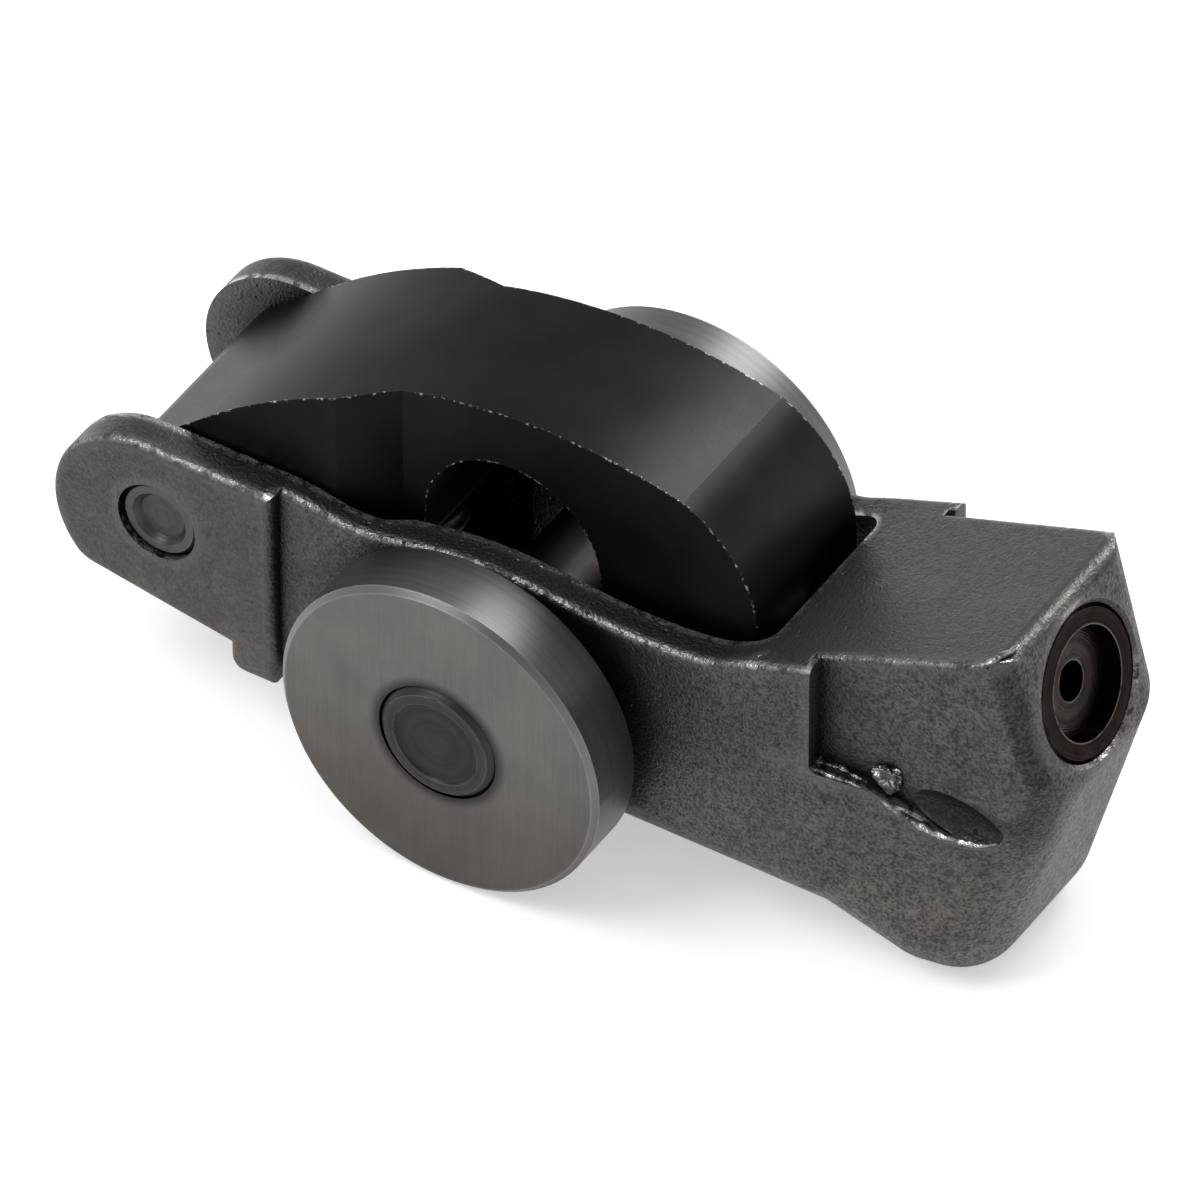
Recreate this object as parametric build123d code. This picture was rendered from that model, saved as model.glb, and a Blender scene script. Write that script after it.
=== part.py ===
"""Two-step rocker arm: a cast outer arm on two outboard rollers, with a sprung inner slider lever and a latch.

The arm is modelled about its roller axis, as it lies on a table, and then moved so that the origin is on
the table under the middle of its length. X runs from the valve end to the lash adjuster end, Y across, Z up.
"""
import os
from math import acos, asin, atan2, cos, floor, hypot, pi, radians, sin, tan

from build123d import *

# Rollers, their axle and needles
roller_radius = 8.5
roller_width = 3.5
roller_outer_face = 11.5
roller_edge_chamfer = 0.28
roller_lip = 0.8
axle_radius = 3.1
axle_proud = 0.2
axle_edge_chamfer = 0.35
axle_dish_radius = 2.25
axle_dish_depth = 0.1
needle_radius = 0.8
needle_clearance = 0.02
needle_end_gap = 0.1
running_clearance = 0.03
washer_thickness = 0.4
washer_radius = 5.25
washer_side_gap = 0.03

# Pivot pin and ears at the valve end
pivot_x = -17.75
pivot_z = 1.85
pin_radius = 2.1
pin_recess = 0.25
pin_dish_radius = 1.45
pin_dish_depth = 0.3
pin_end_chamfer = 0.25
ear_centre_x = -18.5
ear_centre_z = 1.2
ear_radius = 5.0
ear_half_width = 7.5
ear_step_x = -11.5
ear_bottom_z = -3.0
ear_bottom_slope = 9.5

# Outer arm
wall_half_width = 6.75
boss_radius = 5.25
bore_chamfer = 0.2
wall_top_points = ((-8.2, 5.75), (-3.6, 6.45), (0.0, 6.85), (4.2, 6.55), (8.2, 6.4), (11.6, 6.85))
lobe_x = -13.9
arm_bottom_z = -5.3
heel_front_x = 20.8
heel_rise_x = 14.2
heel_round = 3.0

# Pocket between the walls
pocket_half_width = 5.0
pocket_wide_half_width = 5.5
pocket_narrowing_x = -6.6
pocket_narrowing_run = 1.3
pocket_end_x = 13.6
pocket_end_z = 7.7
pocket_corner_radius = 1.0
well_floor_thickness = 1.1
well_end_x = -5.2
well_start_x = -13.2
web_end_x = -21.2
web_bottom_z = -4.0
web_root = 0.25

# Block at the lash adjuster end
block_top_slope = 21.4
end_top_x = 26.1
end_face_length = 8.7
end_tilt = 16.5
lower_end_tilt = 16.0
block_step_x = 16.8
block_step_half_width = 5.7
block_end_half_width = 5.3
flank_end_half_width = 5.35
flank_bend_x = 19.5
flank_bend_half_width = 6.45
flank_end_x = 26.4
ledge_z = 2.7
ledge_end_x = 20.0
scoop_low_x = 23.4
scoop_low_z = 1.2
scoop_end_x = 26.8
scoop_end_z = 1.5
hollow_x = 23.6
hollow_z = 2.45
hollow_half_length = 3.8
hollow_radius = 1.45
hollow_depth = 0.85
hollow_slope = 9.5

# Latch bore, plug, pin and spring, measured inwards from the end face
bore_from_top = 4.75
plug_radius = 3.7
plug_length = 3.4
plug_cup_radius = 2.7
plug_cup_depth = 0.9
plug_hole_radius = 0.95
plug_hole_depth = 1.6
plug_recess = 0.15
plug_rim_chamfer = 0.2
chamber_radius = 3.3
chamber_length = 10.5
latch_radius = 2.3
latch_head_length = 2.0
latch_spigot_radius = 1.5
latch_spigot_length = 0.8
latch_clearance = 0.03
latch_flat_height = 1.55
latch_flat_length = 3.4
latch_tip_chamfer = 0.55
latch_spring_wire = 0.55
latch_spring_turns = 3

# Lash adjuster socket
socket_x = 19.2
socket_radius = 4.0
socket_height = 0.8
oil_hole_radius = 0.6

# Valve pad
valve_pad_x = -17.9
valve_pad_length = 6.4
valve_groove_half_width = 3.1
valve_rib_thickness = 1.1
valve_rib_height = 1.3

# Inner slider lever
pad_centre_x = 1.6
pad_top_z = 14.03
pad_radius = 27.4
pad_start_x = -16.24
pad_end_x = 8.55
slider_end_x = 12.55
slider_end_z = 7.0
nose_radius = 6.95
slider_wide_half_width = 5.32
slider_narrow_half_width = 4.25
facet_start_x = -9.33
facet_end_x = -6.4
knuckle_radius = 3.25
knuckle_gap = 0.3
arch_centre_x = -0.5
arch_centre_z = 6.2
arch_radius = 4.7
rear_underside_z = 3.7
tail_gap = 0.1
tip_sweep_gap = 0.15
underside_round = 0.8

# Lost-motion spring under the lever
spring_x = -9.3
spring_coil_radius = 2.75
spring_wire = 1.1
spring_turns = 4
spring_seat_gap = 0.05

# Casting radii
cast_edge = 0.45
outline_round = 0.8
heel_side_round = 3.2
heel_blend_depth = 1.2
end_side_round = 2.0
block_top_round = 0.4
envelope_gap = 0.05


# Sizes worked out from the ones above
roller_inner_face = roller_outer_face - roller_width
boss_half_width = roller_inner_face - washer_thickness - 2 * washer_side_gap
axle_half_length = roller_outer_face + axle_proud
pin_half_length = ear_half_width - pin_recess
roller_bore_radius = axle_radius + running_clearance
needle_pitch_radius = axle_radius + needle_clearance + needle_radius
needle_race_radius = needle_pitch_radius + needle_radius + needle_clearance
needle_length = roller_width - roller_lip - 2 * needle_end_gap
needle_count = floor(pi / asin((needle_radius + needle_clearance / 2) / needle_pitch_radius))
ground_z = -roller_radius
end_top_z = pocket_end_z + (end_top_x - pocket_end_x) * tan(radians(block_top_slope))
end_low_x = end_top_x + end_face_length * sin(radians(end_tilt))
end_low_z = end_top_z - end_face_length * cos(radians(end_tilt))
bore_mouth_x = end_top_x + bore_from_top * sin(radians(end_tilt))
bore_mouth_z = end_top_z - bore_from_top * cos(radians(end_tilt))
bore_frame = Plane(
    origin=(bore_mouth_x, 0, bore_mouth_z),
    x_dir=(0, 1, 0),
    z_dir=(-cos(radians(end_tilt)), 0, -sin(radians(end_tilt))),
)
plug_end = plug_recess + plug_length
web_top_z = pivot_z - knuckle_radius - knuckle_gap
well_floor_z = arm_bottom_z + well_floor_thickness
socket_centre_z = ground_z + socket_height
pad_centre_z = pad_top_z - pad_radius
back_x = ear_centre_x - ear_radius
middle_x = (back_x + end_low_x) / 2
flank_taper = (flank_bend_half_width - flank_end_half_width) / (flank_end_x - flank_bend_x)


FROM_BASE = (Align.CENTER, Align.CENTER, Align.MIN)
FROM_TOP = (Align.CENTER, Align.CENTER, Align.MAX)


def bore_axis_z(x):
    """Height of the inclined latch bore's axis."""
    return bore_mouth_z - (bore_mouth_x - x) * tan(radians(end_tilt))


def side_prism(face_or_wire, half_width):
    """Extrude a side-view outline to both sides of the middle plane."""
    return extrude(Plane.XZ * face_or_wire, half_width, both=True)


def polygon(points):
    """Closed straight-sided face from a list of corners."""
    return make_face(Polyline(*points, close=True))


def cross_cylinder(x, z, radius, half_width):
    """Cylinder across the arm, centred on the middle plane."""
    return Pos(x, 0, z) * Rot(X=90) * Cylinder(radius, 2 * half_width)


def ear_bottom(x):
    """Height of the ear's sloping lower edge."""
    return ear_bottom_z - (x - ear_centre_x) * tan(radians(ear_bottom_slope))


def lower_end_x(z):
    """Where the block's lower end face lies at a height."""
    return end_low_x - (end_low_z - z) * tan(radians(lower_end_tilt))


def nearest_corner(face, x, z):
    """The corner of an outline that lies nearest a point."""
    return face.vertices().sort_by(lambda v: hypot(v.X - x, v.Y - z))[0]


def round_corners(face, corners, radius):
    """Round several corners of an outline, found by where they are."""
    for x, z in corners:
        face = fillet(nearest_corner(face, x, z), radius)
    return face


def edge_rounding(start, finish, along_a, along_b, radius):
    """Sliver to cut from a straight edge to make it round; the two directions run into its faces."""
    start, finish = Vector(*start), Vector(*finish)
    direction = (finish - start).normalized()
    across = [Vector(*along) for along in (along_a, along_b)]
    across = [(v - direction * v.dot(direction)).normalized() for v in across]
    plane = Plane(origin=start - direction * radius, x_dir=across[0], z_dir=direction)
    turn = atan2(across[1].dot(plane.y_dir), across[1].dot(plane.x_dir))
    reach = radius / tan(abs(turn) / 2)
    depth = radius / sin(abs(turn) / 2)
    centre = (depth * cos(turn / 2), depth * sin(turn / 2))
    outside = (-radius * cos(turn / 2), -radius * sin(turn / 2))
    sliver = polygon([centre, (reach, 0), outside, (reach * cos(turn), reach * sin(turn))])
    sliver -= Pos(*centre) * Circle(radius)
    return extrude(plane * sliver, (finish - start).length + 2 * radius)


def arm_side_outline():
    """Side view of the cast arm: wave-topped walls, raised block, sloping end and heel."""
    ear_top = (ear_centre_x, ear_centre_z + ear_radius)
    step_top = (ear_step_x, ear_centre_z + ear_radius)
    pocket_edge = (pocket_end_x, pocket_end_z)
    end_top = (end_top_x, end_top_z)
    end_low = (end_low_x, end_low_z)
    heel_back = (lower_end_x(ground_z), ground_z)
    heel_front = (heel_front_x, ground_z)
    rise = (heel_rise_x, arm_bottom_z)
    lobe = (lobe_x, arm_bottom_z)
    lobe_top = (lobe_x, ear_bottom(lobe_x))
    ear_low = (ear_centre_x, ear_bottom(ear_centre_x))
    slope = radians(block_top_slope)
    wave = Spline(step_top, *wall_top_points, pocket_edge, tangents=((1, 0), (cos(slope), sin(slope))))
    outline = Polyline(pocket_edge, end_top, end_low, heel_back, heel_front, rise, lobe, lobe_top, ear_low, ear_top)
    face = make_face([Line(ear_top, step_top), wave] + outline.edges())
    face = round_corners(face, [heel_back], heel_round)
    face = round_corners(face, [heel_front, rise], 2 * outline_round)
    face = round_corners(face, [end_top, end_low, lobe], outline_round)
    ear = Pos(ear_centre_x, ear_centre_z) * Circle(ear_radius)
    reach = 2 * ear_radius
    below = polygon([
        (ear_centre_x - reach, ear_bottom(ear_centre_x - reach)),
        (ear_centre_x + reach, ear_bottom(ear_centre_x + reach)),
        (ear_centre_x + reach, ear_bottom_z - reach),
        (ear_centre_x - reach, ear_bottom_z - reach),
    ])
    right = Pos(ear_centre_x + reach / 2, ear_centre_z) * Rectangle(reach, 2 * reach)
    ear_half = ear - below - right
    low_corner = ear_half.vertices().sort_by(Axis.Y)[:2].sort_by(Axis.X)[0]
    ear_half = fillet(low_corner, 2 * outline_round)
    return face + ear_half


def mirrored(points):
    """Close a half plan by reflecting it across the middle plane."""
    return points + [(x, -y) for x, y in reversed(points)]


def flank_half_width(x):
    """Half width of the block's lower flanks, which narrow towards the end face."""
    return flank_bend_half_width - flank_taper * (x - flank_bend_x)


def block_plan():
    """Plan that trims the block's flanks and leaves the rest of the arm alone."""
    clear = ear_half_width + 1
    beyond = end_low_x + 1
    return polygon(mirrored([
        (back_x - 1, clear),
        (block_step_x, clear),
        (block_step_x, wall_half_width),
        (flank_bend_x, flank_bend_half_width),
        (beyond, flank_half_width(beyond)),
    ]))


def soft_prism(face, half_width):
    """Side-view outline extruded to both sides, with its outer edges rounded."""
    prism = side_prism(face, half_width)
    rims = prism.edges().filter_by(lambda e: abs(abs(e.center().Y) - half_width) < 1e-3)
    return fillet(rims, cast_edge)


def rounded_envelope(side_points, radius):
    """Space inside a side view and between the block's tapering flanks, with every edge rounded alike."""
    half_width = wall_half_width + envelope_gap
    taper_start = flank_bend_x - (half_width - flank_bend_half_width) / flank_taper
    beyond = end_low_x + end_face_length
    plan = polygon(mirrored([
        (back_x - end_face_length, half_width),
        (taper_start, half_width),
        (beyond, flank_half_width(beyond)),
    ]))
    core_side = offset(polygon(side_points), amount=-radius, kind=Kind.INTERSECTION)
    core_plan = offset(plan, amount=-radius, kind=Kind.INTERSECTION)
    core = side_prism(core_side, half_width) & Pos(0, 0, 2 * ground_z) * extrude(core_plan, 6 * end_top_z)
    return offset(core, amount=radius, kind=Kind.ARC)


def heel_envelope():
    """Widely rounded space that the walls' undersides and the heel keep to."""
    rise_slope = (arm_bottom_z - ground_z) / (heel_front_x - heel_rise_x)
    low_z = arm_bottom_z - heel_blend_depth
    bend_x = heel_rise_x + heel_blend_depth / rise_slope
    start_x = back_x - end_face_length
    top = 2 * end_top_z
    return rounded_envelope([
        (start_x, low_z),
        (bend_x, low_z),
        (heel_front_x, ground_z),
        (lower_end_x(ground_z), ground_z),
        (lower_end_x(top), top),
        (start_x, top),
    ], heel_side_round)


def end_envelope():
    """Space behind the sloping end face, with its side edges rounded."""
    start_x = back_x - end_face_length
    bottom = 2 * ground_z
    rise = end_face_length * cos(radians(end_tilt))
    return rounded_envelope([
        (start_x, bottom),
        (lower_end_x(bottom), bottom),
        (end_low_x, end_low_z),
        (2 * end_top_x - end_low_x, end_top_z + rise),
        (start_x, end_top_z + rise),
    ], end_side_round)


def block_top_z(x):
    """Height of the block's sloping top."""
    return pocket_end_z + (x - pocket_end_x) * tan(radians(block_top_slope))


def recess_half_width(x):
    """Half width of the block between its two upper hollows."""
    taper = (block_step_half_width - block_end_half_width) / (end_low_x - block_step_x)
    return block_step_half_width - taper * (x - block_step_x)


def block_recess(side):
    """Hollow in each upper flank of the block, over a ledge that runs out in a shallow scoop."""
    far = end_low_x + 2
    plan = polygon([
        (block_step_x, side * block_step_half_width),
        (far, side * recess_half_width(far)),
        (far, side * 2 * wall_half_width),
        (block_step_x, side * 2 * wall_half_width),
    ])
    height = 2 * end_top_z
    profile = polygon([
        (block_step_x, height),
        (block_step_x, ledge_z),
        (ledge_end_x, ledge_z),
        (scoop_low_x, scoop_low_z),
        (scoop_end_x, scoop_end_z),
        (far, ledge_z),
        (far, height),
    ])
    profile = round_corners(profile, [(block_step_x, ledge_z)], outline_round / 2)
    return extrude(plan, height) & side_prism(profile, 2 * wall_half_width)


def ledge_hollow(side):
    """Lens-shaped hollow dug into the block where the ledge runs out."""
    along = Vector(1, -side * flank_taper, -tan(radians(hollow_slope)))
    out = flank_half_width(hollow_x) + hollow_radius - hollow_depth
    place = Plane(origin=(hollow_x, side * out, hollow_z), x_dir=along, z_dir=along.cross(Vector(0, 1, 0)))
    ends = (-hollow_half_length, 0), (hollow_half_length, 0)
    lens = make_face([ThreePointArc(ends[0], (0, hollow_radius), ends[1]), Line(ends[1], ends[0])])
    return place * revolve(lens, Axis.X)


def pocket():
    """Space between the walls: wide round the lever's knuckle, then narrower, and open below the pad."""
    top = 2 * end_top_z
    narrow_start = pocket_narrowing_x + pocket_narrowing_run
    plan = polygon(mirrored([
        (well_start_x, pocket_wide_half_width),
        (pocket_narrowing_x, pocket_wide_half_width),
        (narrow_start, pocket_half_width),
        (pocket_end_x, pocket_half_width),
    ]))
    ends = plan.vertices().group_by(Axis.X)[-1]
    plan = fillet(ends, pocket_corner_radius)
    upper = Pos(0, 0, well_floor_z) * extrude(plan, top - well_floor_z)
    length = pocket_end_x - well_end_x
    through = Pos(well_end_x + length / 2, 0, 0) * Rectangle(length, 2 * pocket_half_width)
    through = fillet(through.vertices().group_by(Axis.X)[-1], pocket_corner_radius)
    through = Pos(0, 0, 2 * ground_z) * extrude(through, top - 2 * ground_z)
    knuckle_length = well_start_x - (back_x - 2)
    corner = (Align.MAX, Align.CENTER, Align.MIN)
    knuckle = Box(knuckle_length, 2 * pocket_wide_half_width, top - web_top_z, align=corner)
    return upper + through + Pos(well_start_x, 0, web_top_z) * knuckle


def ball_socket():
    """Round seat for the lash adjuster's ball, with the oil hole up to the latch chamber."""
    seat = Pos(socket_x, 0, socket_centre_z) * Sphere(socket_radius)
    mouth = Pos(socket_x, 0, socket_centre_z) * Cylinder(socket_radius, socket_radius, align=FROM_TOP)
    start = Vector(socket_x, 0, socket_centre_z)
    finish = bore_frame.from_local_coords(Vector(0, 0, plug_end + latch_spigot_length / 2))
    drill = Plane(origin=start, z_dir=finish - start)
    length = (finish - start).length
    hole = drill * Cylinder(oil_hole_radius, length, align=FROM_BASE)
    return seat + mouth + hole


def bore_step(start, length, radius):
    """Round step of the latch bore, measured inwards from the end face."""
    step = Cylinder(radius, length, align=FROM_BASE)
    return bore_frame * Pos(0, 0, start) * step


def latch_bore():
    """Plug seat, spring chamber and guide bore on one inclined axis."""
    guide_length = (bore_mouth_x - pocket_end_x) / cos(radians(end_tilt)) + latch_radius
    seat = bore_step(-plug_length, 2 * plug_length + plug_recess, plug_radius)
    chamber = bore_step(0, chamber_length, chamber_radius)
    guide = bore_step(0, guide_length, latch_radius + latch_clearance)
    mouth = bore_frame * Pos(0, 0, bore_chamfer / 2) * Cone(plug_radius + bore_chamfer, plug_radius, bore_chamfer)
    return seat + chamber + guide + mouth


def valve_pad():
    """Web between the ears that bears on the valve stem, with a guide rib on each side."""
    width = 2 * (pocket_wide_half_width + web_root)
    web_length = well_start_x + web_root - web_end_x
    web_corner = (Align.MIN, Align.CENTER, Align.MIN)
    web_plate = Box(web_length, width, web_top_z - web_bottom_z, align=web_corner)
    web = Pos(web_end_x, 0, web_bottom_z) * web_plate
    rib_box = Box(valve_pad_length, valve_rib_thickness, valve_rib_height, align=FROM_TOP)
    rib_y = valve_groove_half_width + valve_rib_thickness / 2
    for side in (-1, 1):
        web += Pos(valve_pad_x, side * rib_y, web_bottom_z) * rib_box
    return web


def make_outer_arm_body():
    """Cast outer arm: ears, walls, spring well, valve pad and latch block in one piece."""
    outline = arm_side_outline()
    ear_zone = Pos(ear_step_x, 0) * Rectangle(4 * ear_radius, 8 * ear_radius, align=(Align.MAX, Align.CENTER))
    walls = soft_prism(outline, wall_half_width) - side_prism(ear_zone, 2 * ear_half_width)
    walls = walls & heel_envelope() & end_envelope()
    arm = walls + soft_prism(outline & ear_zone, ear_half_width)
    arm &= Pos(0, 0, 2 * ground_z) * extrude(block_plan(), 4 * end_top_z)
    arm += cross_cylinder(0, 0, boss_radius, boss_half_width)
    arm += valve_pad()
    for side in (-1, 1):
        arm -= block_recess(side)
        arm -= ledge_hollow(side)
        top_start = (block_step_x, side * block_step_half_width, block_top_z(block_step_x))
        top_end = (end_top_x, side * recess_half_width(end_top_x), end_top_z)
        arm -= edge_rounding(top_start, top_end, (0, -side, 0), (0, 0, -1), block_top_round)
    arm -= pocket()
    arm -= cross_cylinder(0, 0, axle_radius, 2 * ear_half_width)
    arm -= cross_cylinder(pivot_x, pivot_z, pin_radius, 2 * ear_half_width)
    arm -= latch_bore()
    arm -= ball_socket()
    return arm


def tangent_spot(x, z, centre_x, centre_z, radius):
    """Where a line from a point touches the back of a circle."""
    across, up = x - centre_x, z - centre_z
    angle = atan2(up, across) + acos(radius / hypot(across, up))
    return centre_x + radius * cos(angle), centre_z + radius * sin(angle)


def pad_height(x):
    """Height of the lever's cam pad."""
    return pad_centre_z + (pad_radius**2 - (x - pad_centre_x) ** 2) ** 0.5


def tail_underside_z(x):
    """Height of the tail's underside, which runs parallel to the latch pin's flat."""
    return bore_axis_z(x) + (latch_flat_height + tail_gap) / cos(radians(end_tilt))


def slider_side_outline():
    """Side view of the lever: knuckle, cam pad, rounded nose, tail and the arch over the axle."""
    pad_start = (pad_start_x, pad_height(pad_start_x))
    knuckle_top = tangent_spot(*pad_start, pivot_x, pivot_z, knuckle_radius)
    pad_end = (pad_end_x, pad_height(pad_end_x))
    nose_low = (slider_end_x, slider_end_z)
    arch_right = (arch_centre_x + arch_radius, arch_centre_z)
    arch_left = (arch_centre_x - arch_radius, arch_centre_z)
    tail_foot = (arch_right[0], tail_underside_z(arch_right[0]))
    tail = Polyline(
        nose_low,
        (slider_end_x, tail_underside_z(slider_end_x)),
        tail_foot,
        arch_right,
    )
    arch = ThreePointArc(arch_right, (arch_centre_x, arch_centre_z + arch_radius), arch_left)
    rear = Polyline(
        arch_left,
        (arch_left[0], rear_underside_z),
        (pivot_x + knuckle_radius, rear_underside_z),
        (pivot_x, pivot_z),
        knuckle_top,
    )
    top = [Line(knuckle_top, pad_start), ThreePointArc(pad_start, (pad_centre_x, pad_top_z), pad_end)]
    nose = RadiusArc(pad_end, nose_low, nose_radius)
    face = make_face(top + [nose] + tail.edges() + [arch] + rear.edges())
    face = round_corners(face, [tail_foot, (arch_left[0], rear_underside_z)], underside_round)
    return face + Pos(pivot_x, pivot_z) * Circle(knuckle_radius)


def make_inner_slider_lever():
    """Black inner lever: wide at the pivot, faceted down to a narrower cam pad."""
    side = side_prism(slider_side_outline(), slider_wide_half_width)
    plan = polygon(mirrored([
        (pivot_x - 2 * knuckle_radius, slider_wide_half_width + 1),
        (facet_start_x, slider_wide_half_width + 1),
        (facet_start_x, slider_wide_half_width),
        (facet_end_x, slider_narrow_half_width),
        (slider_end_x + 1, slider_narrow_half_width),
    ]))
    lever = side & Pos(0, 0, 2 * ground_z) * extrude(plan, 4 * end_top_z)
    lever -= cross_cylinder(pivot_x, pivot_z, pin_radius + running_clearance, ear_half_width)
    return lever


def dished_pin(x, z, radius, half_length, chamfer_size, dish_radius, dish_depth):
    """Plain pin across the arm with broken edges and a shallow dish in each end."""
    pin = cross_cylinder(x, z, radius, half_length)
    rims = pin.edges().filter_by(GeomType.CIRCLE)
    pin = chamfer(rims, chamfer_size)
    for side in (-1, 1):
        dish = Pos(x, side * (half_length - dish_depth / 2), z) * Rot(X=-90 * side) * Cone(
            dish_radius - dish_depth, dish_radius, dish_depth)
        pin -= dish
    return pin


def make_pivot_pin():
    """Staked pin on which the inner lever swings."""
    return dished_pin(pivot_x, pivot_z, pin_radius, pin_half_length, pin_end_chamfer, pin_dish_radius, pin_dish_depth)


def make_roller_axle():
    """Through axle that carries both rollers."""
    return dished_pin(0, 0, axle_radius, axle_half_length, axle_edge_chamfer, axle_dish_radius, axle_dish_depth)


def make_roller(side):
    """Roller with a hidden needle race, open towards the arm and lipped on its outer face."""
    middle = side * (roller_inner_face + roller_width / 2)
    roller = Pos(0, middle, 0) * Rot(X=90) * Cylinder(roller_radius, roller_width)
    roller = chamfer(roller.edges().filter_by(GeomType.CIRCLE), roller_edge_chamfer)
    roller -= Pos(0, middle, 0) * Rot(X=90) * Cylinder(roller_bore_radius, 2 * roller_width)
    race_length = roller_width - roller_lip
    race = Pos(0, side * (roller_inner_face + race_length / 2), 0) * Rot(X=90) * Cylinder(needle_race_radius, race_length)
    return roller - race


def make_needle(side, number):
    """One needle of the full ring round the axle."""
    angle = 2 * pi * number / needle_count
    middle = side * (roller_inner_face + needle_end_gap + needle_length / 2)
    place = Pos(needle_pitch_radius * cos(angle), middle, needle_pitch_radius * sin(angle))
    return place * Rot(X=90) * Cylinder(needle_radius, needle_length)


def make_thrust_washer(side):
    """Hardened washer between the arm's boss and the roller."""
    middle = side * (boss_half_width + washer_side_gap + washer_thickness / 2)
    ring = Cylinder(washer_radius, washer_thickness) - Cylinder(axle_radius, 2 * washer_thickness)
    return Pos(0, middle, 0) * Rot(X=90) * ring


def coil_spring(coil_radius, wire, turns, length):
    """Round-wire compression spring standing on the XY plane."""
    path = Helix(pitch=(length - wire) / turns, height=length - wire, radius=coil_radius)
    section = Plane(origin=path @ 0, z_dir=path % 0) * Circle(wire / 2)
    return Pos(0, 0, wire / 2) * sweep(section, path=path, is_frenet=True)


def make_lost_motion_spring():
    """Spring in the arm's well that pushes the inner lever up against the high-lift cam."""
    length = rear_underside_z - well_floor_z - 2 * spring_seat_gap
    spring = coil_spring(spring_coil_radius, spring_wire, spring_turns, length)
    return Pos(spring_x, 0, well_floor_z + spring_seat_gap) * spring


def latch_tip_distance():
    """How far inwards the drawn-back pin's tip lies, just clear of the swinging tail."""
    nose_reach = hypot(slider_end_x - pivot_x, slider_end_z - pivot_z)
    top_corner_x = pivot_x + nose_reach + tip_sweep_gap
    tip_x = top_corner_x + latch_flat_height * sin(radians(end_tilt))
    return (bore_mouth_x - tip_x) / cos(radians(end_tilt))


def make_latch_pin():
    """Piston-headed pin with a flat on top, drawn back so that the inner lever swings free."""
    head_start = plug_end + latch_spigot_length
    tip = latch_tip_distance()
    spigot = bore_step(plug_end + latch_clearance, latch_spigot_length, latch_spigot_radius)
    head = bore_step(head_start, latch_head_length, chamber_radius - latch_clearance)
    stem = Cylinder(latch_radius, tip - head_start, align=FROM_BASE)
    stem = chamfer(stem.edges().sort_by(Axis.Z)[-1], latch_tip_chamfer)
    flat = Box(2 * latch_radius, 2 * latch_radius, latch_flat_length, align=(Align.CENTER, Align.MAX, Align.MAX))
    stem -= Pos(0, -latch_flat_height, tip - head_start) * flat
    return spigot + head + bore_frame * Pos(0, 0, head_start) * stem


def make_latch_spring():
    """Return spring that draws the latch pin back when the oil pressure drops."""
    start = plug_end + latch_spigot_length + latch_head_length + spring_seat_gap
    length = chamber_length - start - spring_seat_gap
    coil_radius = (latch_radius + chamber_radius) / 2
    return bore_frame * Pos(0, 0, start) * coil_spring(coil_radius, latch_spring_wire, latch_spring_turns, length)


def make_latch_plug():
    """Cup-faced plug pressed into the end of the latch bore."""
    plug = Cylinder(plug_radius, plug_length, align=FROM_BASE)
    plug = chamfer(plug.edges().filter_by(GeomType.CIRCLE), plug_rim_chamfer)
    plug -= Cylinder(plug_cup_radius, plug_cup_depth, align=FROM_BASE)
    plug -= Cylinder(plug_hole_radius, plug_cup_depth + plug_hole_depth, align=FROM_BASE)
    return bore_frame * Pos(0, 0, plug_recess) * plug


def make_parts():
    """Every piece of the rocker arm by name, about the roller axis."""
    parts = {
        "outer_arm_body": make_outer_arm_body(),
        "inner_slider_lever": make_inner_slider_lever(),
        "pivot_pin": make_pivot_pin(),
        "roller_axle": make_roller_axle(),
        "lost_motion_spring": make_lost_motion_spring(),
        "latch_pin": make_latch_pin(),
        "latch_spring": make_latch_spring(),
        "latch_plug": make_latch_plug(),
    }
    for name, side in (("near", -1), ("far", 1)):
        parts[name + "_roller"] = make_roller(side)
        parts[name + "_thrust_washer"] = make_thrust_washer(side)
        for number in range(needle_count):
            parts[f"{name}_needle_{number + 1:02d}"] = make_needle(side, number)
    return parts


os.makedirs("parts", exist_ok=True)
for name, piece in make_parts().items():
    export_step(Pos(-middle_x, 0, roller_radius) * piece, f"parts/{name}.step")
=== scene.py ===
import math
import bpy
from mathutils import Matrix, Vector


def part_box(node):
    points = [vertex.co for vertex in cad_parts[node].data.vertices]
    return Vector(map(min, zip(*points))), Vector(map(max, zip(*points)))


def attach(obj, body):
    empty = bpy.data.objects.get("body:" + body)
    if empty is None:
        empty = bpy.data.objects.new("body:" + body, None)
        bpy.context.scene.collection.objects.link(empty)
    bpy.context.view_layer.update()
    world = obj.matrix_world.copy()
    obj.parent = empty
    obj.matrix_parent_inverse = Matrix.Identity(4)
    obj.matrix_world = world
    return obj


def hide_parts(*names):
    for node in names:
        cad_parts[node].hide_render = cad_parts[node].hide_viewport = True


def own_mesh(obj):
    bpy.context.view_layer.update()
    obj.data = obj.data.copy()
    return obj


bl_info = {
    "name": "Switchable rocker arm",
    "version": (1, 0, 0),
    "blender": (4, 5, 0),
    "location": "3D View > Sidebar > Rocker arm",
    "description": "Finishes a packed rocker arm: casting, lever, rollers, latch, springs and stage",
    "category": "Object",
}

import bmesh
import bpy
from mathutils import Vector, noise

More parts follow.
